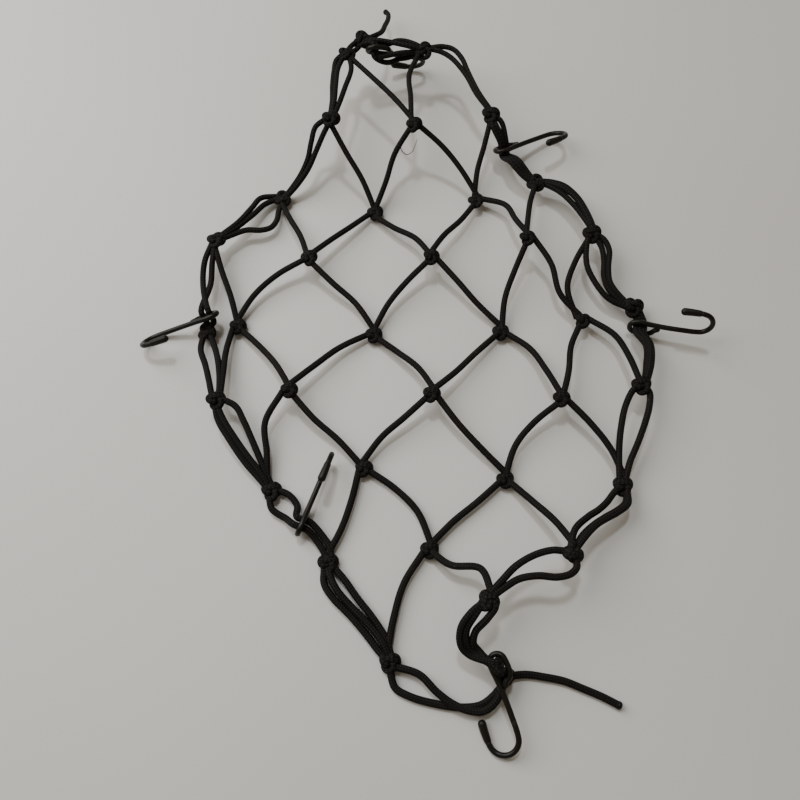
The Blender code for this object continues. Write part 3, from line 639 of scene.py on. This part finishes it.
lint, entry, result = new_group(
    "lint and dust",
    [("Amount", "NodeSocketFloat", 0.5), ("Speck scale", "NodeSocketFloat", 900.0)],
    [("Specks", "NodeSocketFloat"), ("Film", "NodeSocketFloat")])
place = lint.nodes.new("ShaderNodeTexCoord").outputs["Object"]
fine = noise_field(lint, place, entry.outputs["Speck scale"], detail=1.0)
patchy = noise_field(lint, place, PATCH_SCALE, detail=3.0, roughness=0.6)
dusty = ramp(lint, patchy, low=0.45, high=0.75)
specks = maths(lint, "MULTIPLY", ramp(lint, fine, low=0.70, high=0.78), dusty)
lint.links.new(maths(lint, "MULTIPLY", specks, entry.outputs["Amount"]), result.inputs["Specks"])
film = ramp(lint, patchy, low=0.35, high=0.8)
lint.links.new(maths(lint, "MULTIPLY", film, entry.outputs["Amount"]), result.inputs["Film"])
print("lint group:", len(lint.nodes), "nodes")

# %% [markdown]
# Dipped and coated surfaces aren't perfectly smooth: a plastic coating has a fine orange peel, and it is
# scuffed where it has been handled.  The grain group gives both, as a height and a mask.

# %% The grain group
grain, entry, result = new_group(
    "moulded grain",
    [("Scale", "NodeSocketFloat", 600.0), ("Scuff scale", "NodeSocketFloat", 120.0)],
    [("Height", "NodeSocketFloat"), ("Scuffs", "NodeSocketFloat")])
place = grain.nodes.new("ShaderNodeTexCoord").outputs["Object"]
peel = noise_field(grain, place, entry.outputs["Scale"])
grain.links.new(peel, result.inputs["Height"])
scuff = noise_field(grain, place, entry.outputs["Scuff scale"], detail=6.0, roughness=0.7)
grain.links.new(ramp(grain, scuff, low=0.56, high=0.7), result.inputs["Scuffs"])
print("grain group:", len(grain.nodes), "nodes")

# %% [markdown]
# ## Finishes
#
# The net is black.  Its colour paints a brownish highlight on the crests of one family of yarns and paints
# shade into the grooves between them, and lint shows as pale specks.  The sheath is rough and hardly shines,
# and its even values are set on the shader itself.

# %% Material helpers
def new_material(name):
    material = bpy.data.materials.new(name)
    material.use_nodes = True
    tree = material.node_tree
    return material, tree, tree.nodes["Principled BSDF"]


def place_group(tree, group, **values):
    node = tree.nodes.new("ShaderNodeGroup")
    node.node_tree = group
    for title, value in values.items():
        feed(tree, node.inputs[title], value)
    return node


def bump(tree, height, strength, distance):
    node = tree.nodes.new("ShaderNodeBump")
    feed(tree, node.inputs["Height"], height)
    node.inputs["Strength"].default_value = strength
    node.inputs["Distance"].default_value = distance
    return node.outputs["Normal"]


# %% The cord's finish
# painted light: the lighter family's brownish colour is a painted highlight, and the groove colour is painted
# shade
GROOVE_PAINTED_SHADE = (0.0006, 0.0006, 0.0006, 1.0)
YARN_PAINTED_HIGHLIGHT = (0.0175, 0.0155, 0.0130, 1.0)
YARN_OTHER = (0.0040, 0.0037, 0.0035, 1.0)
LINT = (0.26, 0.235, 0.205, 1.0)
FILM_SHARE, SPECK_SHARE = 0.02, 0.55     # how much of the lint's colour a film and a speck take
FIBRE_SCALE = 2600.0     # fibres to the metre
FIBRE_SHARE = 0.35       # height of the fibres, over a yarn's
YARN_HEIGHT = 0.00022    # metres
SHEATH_GLOSS = 0.12


def sheath_finish(name, relief, lint_amount):
    """Braided black polyester over the elastic core."""
    material, tree, shader = new_material(name)
    cells = tree.nodes.new("ShaderNodeUVMap")
    cells.uv_map = SHEATH_MAP
    weave = place_group(tree, braid, Map=cells.outputs["UV"], Yarns=float(YARNS))
    dust = place_group(tree, lint, Amount=lint_amount)
    place = tree.nodes.new("ShaderNodeTexCoord").outputs["Object"]
    fibres = noise_field(tree, place, FIBRE_SCALE)
    # painted light: one family of yarns takes a brownish painted highlight, and the grooves take painted
    # shade
    yarn = mix_colour(tree, weave.outputs["Family"], YARN_PAINTED_HIGHLIGHT, YARN_OTHER)
    colour = mix_colour(tree, weave.outputs["Groove shade"], yarn, GROOVE_PAINTED_SHADE)
    colour = mix_colour(tree, maths(tree, "MULTIPLY", dust.outputs["Film"], FILM_SHARE), colour, LINT)
    colour = mix_colour(tree, maths(tree, "MULTIPLY", dust.outputs["Specks"], SPECK_SHARE), colour, LINT)
    feed(tree, shader.inputs["Base Color"], colour)
    roughness = ramp(tree, fibres, low=0.3, high=0.7, low_to=0.58, high_to=0.82)
    feed(tree, shader.inputs["Roughness"], roughness)
    height = maths(tree, "ADD", weave.outputs["Height"], maths(tree, "MULTIPLY", fibres, FIBRE_SHARE))
    feed(tree, shader.inputs["Normal"], bump(tree, height, relief, YARN_HEIGHT))
    shader.inputs["Specular IOR Level"].default_value = SHEATH_GLOSS
    return material


mesh_sheath = sheath_finish("mesh_cord_sheath", relief=0.8, lint_amount=0.5)
border_sheath = sheath_finish("border_cord_sheath", relief=0.8, lint_amount=0.7)
knot_sheath = sheath_finish("knot_sheath", relief=0.9, lint_amount=1.0)
print("three cord finishes")

# %% [markdown]
# The hooks are steel wire in a black coating that is glossier than the cord, with a brown tint.  Their
# caps are dipped in a softer plastic, duller than the wire, and the melted ends of the cord are a hard,
# shiny bead.

# %% Coating, dip and melted ends
SCUFF_SHARE = 0.6        # how much of the worn colour a scuff takes
SCUFF_DULLS = 0.2        # how much rougher a scuff is
DUST_SHARE = 0.4         # how much of the lint's colour a speck takes on plastic
PEEL_HEIGHT = 0.0001     # metres


def plastic_finish(name, colour, worn, gloss, roughness, scale, relief, lint_amount):
    """Black plastic with an orange peel, scuffs and a little lint."""
    material, tree, shader = new_material(name)
    skin = place_group(tree, grain, Scale=scale)
    dust = place_group(tree, lint, Amount=lint_amount)
    scuffs = skin.outputs["Scuffs"]
    shade = mix_colour(tree, maths(tree, "MULTIPLY", scuffs, SCUFF_SHARE), colour, worn)
    shade = mix_colour(tree, maths(tree, "MULTIPLY", dust.outputs["Specks"], DUST_SHARE), shade, LINT)
    feed(tree, shader.inputs["Base Color"], shade)
    feed(tree, shader.inputs["Roughness"], ramp(tree, scuffs, 0.0, 1.0, roughness, roughness + SCUFF_DULLS))
    feed(tree, shader.inputs["Normal"], bump(tree, skin.outputs["Height"], relief, PEEL_HEIGHT))
    shader.inputs["Specular IOR Level"].default_value = gloss
    return material


wire_coating = plastic_finish(
    "wire_coating", colour=(0.0090, 0.0078, 0.0060, 1.0), worn=(0.030, 0.026, 0.020, 1.0),
    gloss=0.22, roughness=0.30, scale=700.0, relief=0.25, lint_amount=0.3)
cap_dip = plastic_finish(
    "cap_dip", colour=(0.0095, 0.0080, 0.0058, 1.0), worn=(0.030, 0.026, 0.019, 1.0),
    gloss=0.2, roughness=0.4, scale=420.0, relief=0.5, lint_amount=0.5)
melted_cord = plastic_finish(
    "melted_cord", colour=(0.0035, 0.003, 0.003, 1.0), worn=(0.012, 0.010, 0.009, 1.0),
    gloss=0.25, roughness=0.34, scale=1500.0, relief=0.8, lint_amount=0.2)
print("coating, dip and melted bead")

# %% [markdown]
# ## Cords in place
#
# The legs of the mesh are one piece and the border cords another.  Each strand keeps its own radius, which
# grows toward the near end as the elastic goes slack.

# %% Mesh cords and border cords
CURVE_STEPS = 24         # steps of the smooth line between two stops
CORD_REST = 0.1          # between a resting cord and the floor


def strand_line(route):
    """The route as an even line that rests on the floor where it would pass under it."""
    radius = cord_radius(sum(point.y for point in route) / len(route))
    line = even_points(smooth_points(route, CURVE_STEPS), RING_SPACING)
    line[:, 2] = np.maximum(line[:, 2], radius + CORD_REST)
    return line, radius


def braid_rise(line):
    middle_y = float(line[:, 1].mean())
    return BRAID_TAUT + (BRAID_SLACK - BRAID_TAUT) * slackness(middle_y)


def show(thing, slot_name, *nodes):
    """Lets a piece ride with the part and stand for its nodes; slot_name is not used."""
    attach(thing, "root")
    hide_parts(*nodes)


def cords(name, routes, material):
    gathered = CordMesh()
    total = 0.0
    for seed, route in enumerate(routes):
        line, radius = strand_line(route)
        total += reach_along(line)[-1]
        gathered.tube(line, uneven(line, radius, seed), rise=braid_rise(line))
    print(f"{name}: {len(routes)} strands, {total / 1000:.2f} m of cord")
    show(gathered.make(name, material), "elastic_cord", "net")


cords("mesh_cords", leg_routes, mesh_sheath)
cords("border_cords", edge_routes, border_sheath)

# %% [markdown]
# ## Knots
#
# Each knot is the cord itself, drawn tight.  An overhand knot that is pulled up hard is close to a
# trefoil: a line that goes twice round while it rises and falls three times, so that three lobes stand
# out.  Seen from above, most of these knots have a lobe at each side and one toward the near end, and the
# cord's last turn lies across the top like a collar, where two cords go in side by side.  A formula gives
# the trefoil, and each knot is turned and leant a little its own way.

# %% Knot lines
KNOT_SPACING = 0.7       # millimetres between rings in a knot
KNOT_SIDES = 14
KNOT_BRAID = 0.8         # rise of its yarns
KNOT_CORD = 0.94         # radius of the cord in a tight knot, over the loose cord's
KNOT_REACH = 1.13        # how far its lobes reach, over the knot's radius
KNOT_RISE = 0.85         # how far its line rises and falls, over the cord's radius
LOBE_SWING = 0.41        # how far the trefoil's line swings in and out, over its reach
COLLAR_WIDE, COLLAR_BACK = 0.80, 0.30    # half its width and its distance behind the middle, over the reach
COLLAR_HIGH = 1.05       # half its height, over the cord's radius


def trefoil(reach, height):
    """A closed line that goes twice round and has three lobes, the first of them along X."""
    count = int(4 * math.pi * reach / KNOT_SPACING)
    phase = np.linspace(0, 2 * math.pi, count, endpoint=False)
    out = reach * (1 - LOBE_SWING + LOBE_SWING * np.cos(3 * phase))
    return np.stack([out * np.cos(2 * phase), out * np.sin(2 * phase), height * np.sin(3 * phase)], 1)


def collar(reach, radius):
    """A closed line round the cords that go into the knot, behind its two side lobes."""
    count = int(2 * math.pi * reach / KNOT_SPACING)
    phase = np.linspace(0, 2 * math.pi, count, endpoint=False)
    back = np.full(count, -reach * COLLAR_BACK)
    return np.stack([back, reach * COLLAR_WIDE * np.cos(phase), radius * COLLAR_HIGH * np.sin(phase)], 1)


# %% Tie the knots
NEAR_LOBE = -90.0        # degrees that put one lobe toward the near end
PLAN_SWING = 14.0        # degrees that a knot may be turned from that
MOST_LEAN, FLOOR_LEAN = 16.0, 5.0        # degrees that a raised knot and a resting one may lean
# knots that are pulled another way round, in degrees
KNOT_TURNS = {"T": 60, "TR0": 25, "TR2": 150, "BR2": 165, "BR3": 70, "BL3": -20, "L": 180, "TL2": 170,
              "TL0": 200}


def knot_turn(knot, dice):
    """How the knot is turned in plan and leant, as a matrix."""
    plan = NEAR_LOBE + KNOT_TURNS.get(knot.name, 0) + dice.uniform(-PLAN_SWING, PLAN_SWING)
    turn = Matrix.Rotation(math.radians(plan), 3, "Z")
    most = MOST_LEAN if knot.z > FLOOR_KNOT_Z else FLOOR_LEAN
    for axis in "XY":
        turn = turn @ Matrix.Rotation(math.radians(dice.uniform(-most, most)), 3, axis)
    return np.array(turn)


def tie_knots(name, knots):
    dice = random.Random(name)
    gathered = CordMesh()
    for knot in knots:
        radius = cord_radius(knot.y) * KNOT_CORD
        reach = knot.radius * KNOT_REACH - radius
        turn = knot_turn(knot, dice)
        for line in (trefoil(reach, radius * KNOT_RISE), collar(reach, radius)):
            placed = line @ turn.T + np.array(knot_spot(knot))
            gathered.tube(placed, radius, KNOT_SIDES, KNOT_BRAID, closed=True)
    show(gathered.make(name, knot_sheath), "elastic_cord", "net")


tie_knots("mesh_knots", MESH_KNOTS)
tie_knots("border_knots", BORDER_KNOTS)

# %% [markdown]
# ## Free ends
#
# The cord was cut with a hot knife, so each free end is sealed: the sheath swells a little and closes in a
# blunt melted bead.

# %% Free ends
END_SEED = 77
BEAD_LENGTH = 2.6        # half of it lies over the cord
BEAD_SWELL = 1.12        # its radius where it is thickest, over the cord's
# places along the bead, and its radius there over the cord's
BEAD_SHARE = np.array([0.0, 0.12, 0.35, 0.6, 0.8, 0.93, 1.0])
BEAD_PROFILE = np.array([1.0, BEAD_SWELL, BEAD_SWELL, 1.02, 0.8, 0.5, 0.2])

for knot_name, place_name in (("T", "top_end"), ("B", "bottom_end")):
    line, radius = strand_line(end_routes[knot_name])
    print(f"{place_name}: {reach_along(line)[-1]:.0f} mm of cord")
    gathered = CordMesh()
    gathered.tube(line, uneven(line, radius, END_SEED), rise=braid_rise(line))
    show(gathered.make(place_name + "_cord", mesh_sheath), "elastic_cord", "net")
    onward = unit(line[-1] - line[-2])
    bead_line = line[-1] + np.outer(BEAD_SHARE * BEAD_LENGTH - BEAD_LENGTH / 2, onward)
    bead = CordMesh()
    bead.tube(bead_line, BEAD_PROFILE * radius)
    show(bead.make(place_name + "_bead", melted_cord), "elastic_cord", "net")

# %% [markdown]
# One fibre has been pulled out of the sheath below the first knot of the mesh, and stands in a loop.

# %% Pulled fibre
FIBRE_WIDE = 0.45        # diameter at its middle
FIBRE_ROOT, FIBRE_TIP = 1.4, 0.6         # diameters at its ends, over that at its middle
FIBRE_SIDES = 8
FIBRE = [(0.0, 171.4, 23.5), (1.2, 167.9, 23.5), (4.3, 165.5, 23.2), (7.7, 168.0, 22.8), (9.5, 172.6, 22.4),
         (11.3, 178.7, 22)]

line = strand_line([Vector(spot) for spot in FIBRE])[0]
fibre = CordMesh()
fibre.tube(line, FIBRE_WIDE / 2 * np.linspace(FIBRE_ROOT, FIBRE_TIP, len(line)), FIBRE_SIDES)
show(fibre.make("pulled_fibre", melted_cord), "elastic_cord", "net")

# %% [markdown]
# ## Hooks
#
# A wire hook is bent from one length: the wire starts beside the shank, goes round the eye, down the shank
# and round the open bend.  Its line is the same as the solid's, with arcs in many more steps.  The coating
# rounds the wire's cut end.

# %% The wire's line
EYE_RADIUS = 4.4         # closed eye, to the middle of the wire
# the closing leg, from the wire's end back to the round of the eye: along the shank, and to its side
EYE_LEG = [(17.4, -3.8), (15.8, -5.0), (13.9, -7.7), (11.4, -8.8)]
SHANK = 40.5             # from the eye's top to the start of the bend
SHANK_BOW = 0.8          # how far the shank stands out from its straight line, away from the bend
SHANK_STEPS = 4
BEND_RADIUS = 8.0        # the open bend, to the middle of the wire
WIRE_END = 1.0           # from the start of the bend back to the level of the wire's end
HOOK_ARC_STEPS = 6       # stops in a half turn, which the smooth line rounds


def half_turn(centre_along, centre_side, radius, first, last):
    """Points round half a circle in the hook's plane; angles in degrees from the shank's direction."""
    points = []
    for step in range(HOOK_ARC_STEPS + 1):
        angle = math.radians(first + (last - first) * step / HOOK_ARC_STEPS)
        points.append((centre_along + radius * math.cos(angle), centre_side + radius * math.sin(angle)))
    return points


def wire_route(hook):
    """The wire's middle line: round the eye, down the shank and round the bend to the cap."""
    length = SHANK * hook.size
    bend = BEND_RADIUS * hook.size
    stops = [*EYE_LEG, *half_turn(EYE_RADIUS, -EYE_RADIUS, EYE_RADIUS, -90, -270)]
    for step in range(1, SHANK_STEPS):
        share = step / SHANK_STEPS
        stops.append((EYE_RADIUS + (length - EYE_RADIUS) * share, -SHANK_BOW * math.sin(math.pi * share)))
    stops += [*half_turn(length, bend, bend, -90, 90), (length - WIRE_END, 2 * bend)]
    return [on_hook(hook, *stop) for stop in stops]


# %% Hook wires
WIRE_SIDES = 20
WIRE_SPACING = 0.7       # millimetres between rings on the wire
DOME_SHARE = np.array([0.35, 0.7, 0.9, 0.99])    # places along a rounded end, over its radius


def rounded_end(line, radii):
    """The line and its radii with points added that close its last end in a dome."""
    onward = unit(line[-1] - line[-2])
    line = np.vstack([line, line[-1] + np.outer(DOME_SHARE * radii[-1], onward)])
    return line, np.concatenate([radii, radii[-1] * np.sqrt(1 - DOME_SHARE ** 2)])


for hook in HOOKS.values():
    line = even_points(smooth_points(wire_route(hook), CURVE_STEPS), WIRE_SPACING)
    # the cut end is the first, so the line is turned round for its dome and back again
    line, radii = rounded_end(line[::-1], np.full(len(line), WIRE / 2))
    bar = CordMesh()
    bar.tube(line[::-1], radii[::-1], WIRE_SIDES)
    show(bar.make(hook.name + "_bar", wire_coating), "coated_wire", hook.name + "_wire")

# %% [markdown]
# ## Dipped caps
#
# The tip of each hook is dipped twice, so that it doesn't scratch paint.  The dip starts in a soft rolled
# edge, swells toward its end as the plastic runs down, and closes in a dome.

# %% Caps
CAP = 4.8                # diameter near its tip
CAP_LENGTH = 11.3
CAP_GAP = 0.3            # between the solids of the wire and the cap
CAP_DROOP = 0.7          # how far the cap's tip leans in toward the shank
CAP_THIN = 0.80          # its thickness at the wire, over that at its tip
CAP_SWELL = 0.7          # below 1 the cap is thick already soon after its edge
CAP_LIP = 0.8            # length of the rolled edge
CAP_OVERLAP = 0.5        # how far the rolled edge reaches back over the wire
CAP_SPACING = 0.4        # millimetres between its rings
DOME_RINGS = 4           # rings that are left out at its tip, where the dome stands


def cap_route(hook):
    start = SHANK * hook.size - WIRE_END - CAP_GAP
    shape = [(0.0, 0.0), (CAP_LENGTH / 2, CAP_DROOP / 4), (CAP_LENGTH, CAP_DROOP)]
    return [on_hook(hook, start - back, 2 * BEND_RADIUS * hook.size - droop) for back, droop in shape]


for hook in HOOKS.values():
    line = even_points(smooth_points(cap_route(hook), CURVE_STEPS), CAP_SPACING)
    edge = line[0] - unit(line[1] - line[0]) * CAP_OVERLAP
    line = np.vstack([edge, line[:-DOME_RINGS]])
    reach = reach_along(line)
    body = CAP / 2 * (CAP_THIN + (1 - CAP_THIN) * (reach / reach[-1]) ** CAP_SWELL)
    lip = np.clip(reach / CAP_LIP, 0, 1)
    radii = WIRE / 2 + (body - WIRE / 2) * np.sqrt(1 - (1 - lip) ** 2)
    line, radii = rounded_end(line, radii)
    dip = CordMesh()
    dip.tube(line, radii, WIRE_SIDES)
    show(dip.make(hook.name + "_dip", cap_dip), "dipped_cap", hook.name + "_cap")

# %% [markdown]
# ## Floor and light
#
# The net lies on a pale painted surface.  A large soft light stands near it on the far left, so the floor
# is brightest there and darkens toward the near right.  A weaker, cooler lamp beyond the far end casts the
# short shadows that fall toward the viewer, and the warm room fills them, so they are brown.

# %% Floor
FLOOR_SIZE = 8.0         # metres
FLOOR_DARK = (0.595, 0.580, 0.555, 1.0)
FLOOR_LIGHT = (0.635, 0.622, 0.600, 1.0)
FLOOR_PATCHES = 2.2      # patches of the two colours to the metre
FLOOR_ROUGHNESS = 0.6

floor_material, tree, shader = new_material("pale_floor")
place = tree.nodes.new("ShaderNodeTexCoord").outputs["Object"]
broad = ramp(tree, noise_field(tree, place, FLOOR_PATCHES), low=0.3, high=0.7)
feed(tree, shader.inputs["Base Color"], mix_colour(tree, broad, FLOOR_DARK, FLOOR_LIGHT))
shader.inputs["Roughness"].default_value = FLOOR_ROUGHNESS
floor_mesh = bpy.data.meshes.new("floor")
half = FLOOR_SIZE / 2
corners = [(-half, -half, 0), (half, -half, 0), (half, half, 0), (-half, half, 0)]
floor_mesh.from_pydata(corners, [], [(0, 1, 2, 3)])
floor_mesh.materials.append(floor_material)
floor = bpy.data.objects.new("floor", floor_mesh)
bpy.context.scene.collection.objects.link(floor)
print("a plain floor,", FLOOR_SIZE, "m wide")

# %% Lights
KEY_FROM = Vector((-0.08, 0.46, 1.0))    # the way to the lamp, from the shadows' length and direction
FILL_AT = Vector((-0.75, 0.38, 0.8))     # metres; near enough to leave the near right corner darker
ROOM_COLOUR = (1.0, 0.86, 0.66, 1.0)
ROOM_STRENGTH = 0.24


def add_light(name, kind, energy, colour, direction):
    """A light that shines from that direction onto the net."""
    light = bpy.data.objects.new(name, bpy.data.lights.new(name, kind))
    light.data.energy = energy
    light.data.color = colour
    light.rotation_euler = direction.to_track_quat("Z", "Y").to_euler()
    bpy.context.scene.collection.objects.link(light)
    return light


key = add_light("key", "SUN", energy=0.9, colour=(0.90, 0.96, 1.0), direction=KEY_FROM)
key.data.angle = math.radians(7.0)
fill = add_light("left_fill", "AREA", energy=14.5, colour=(1.0, 0.995, 0.98), direction=FILL_AT)
fill.data.size = 1.0
fill.location = FILL_AT

world = bpy.data.worlds.new("room")
world.use_nodes = True
background = world.node_tree.nodes["Background"]
background.inputs["Color"].default_value = ROOM_COLOUR
background.inputs["Strength"].default_value = ROOM_STRENGTH
bpy.context.scene.world = world
print("two lights and the room's light")
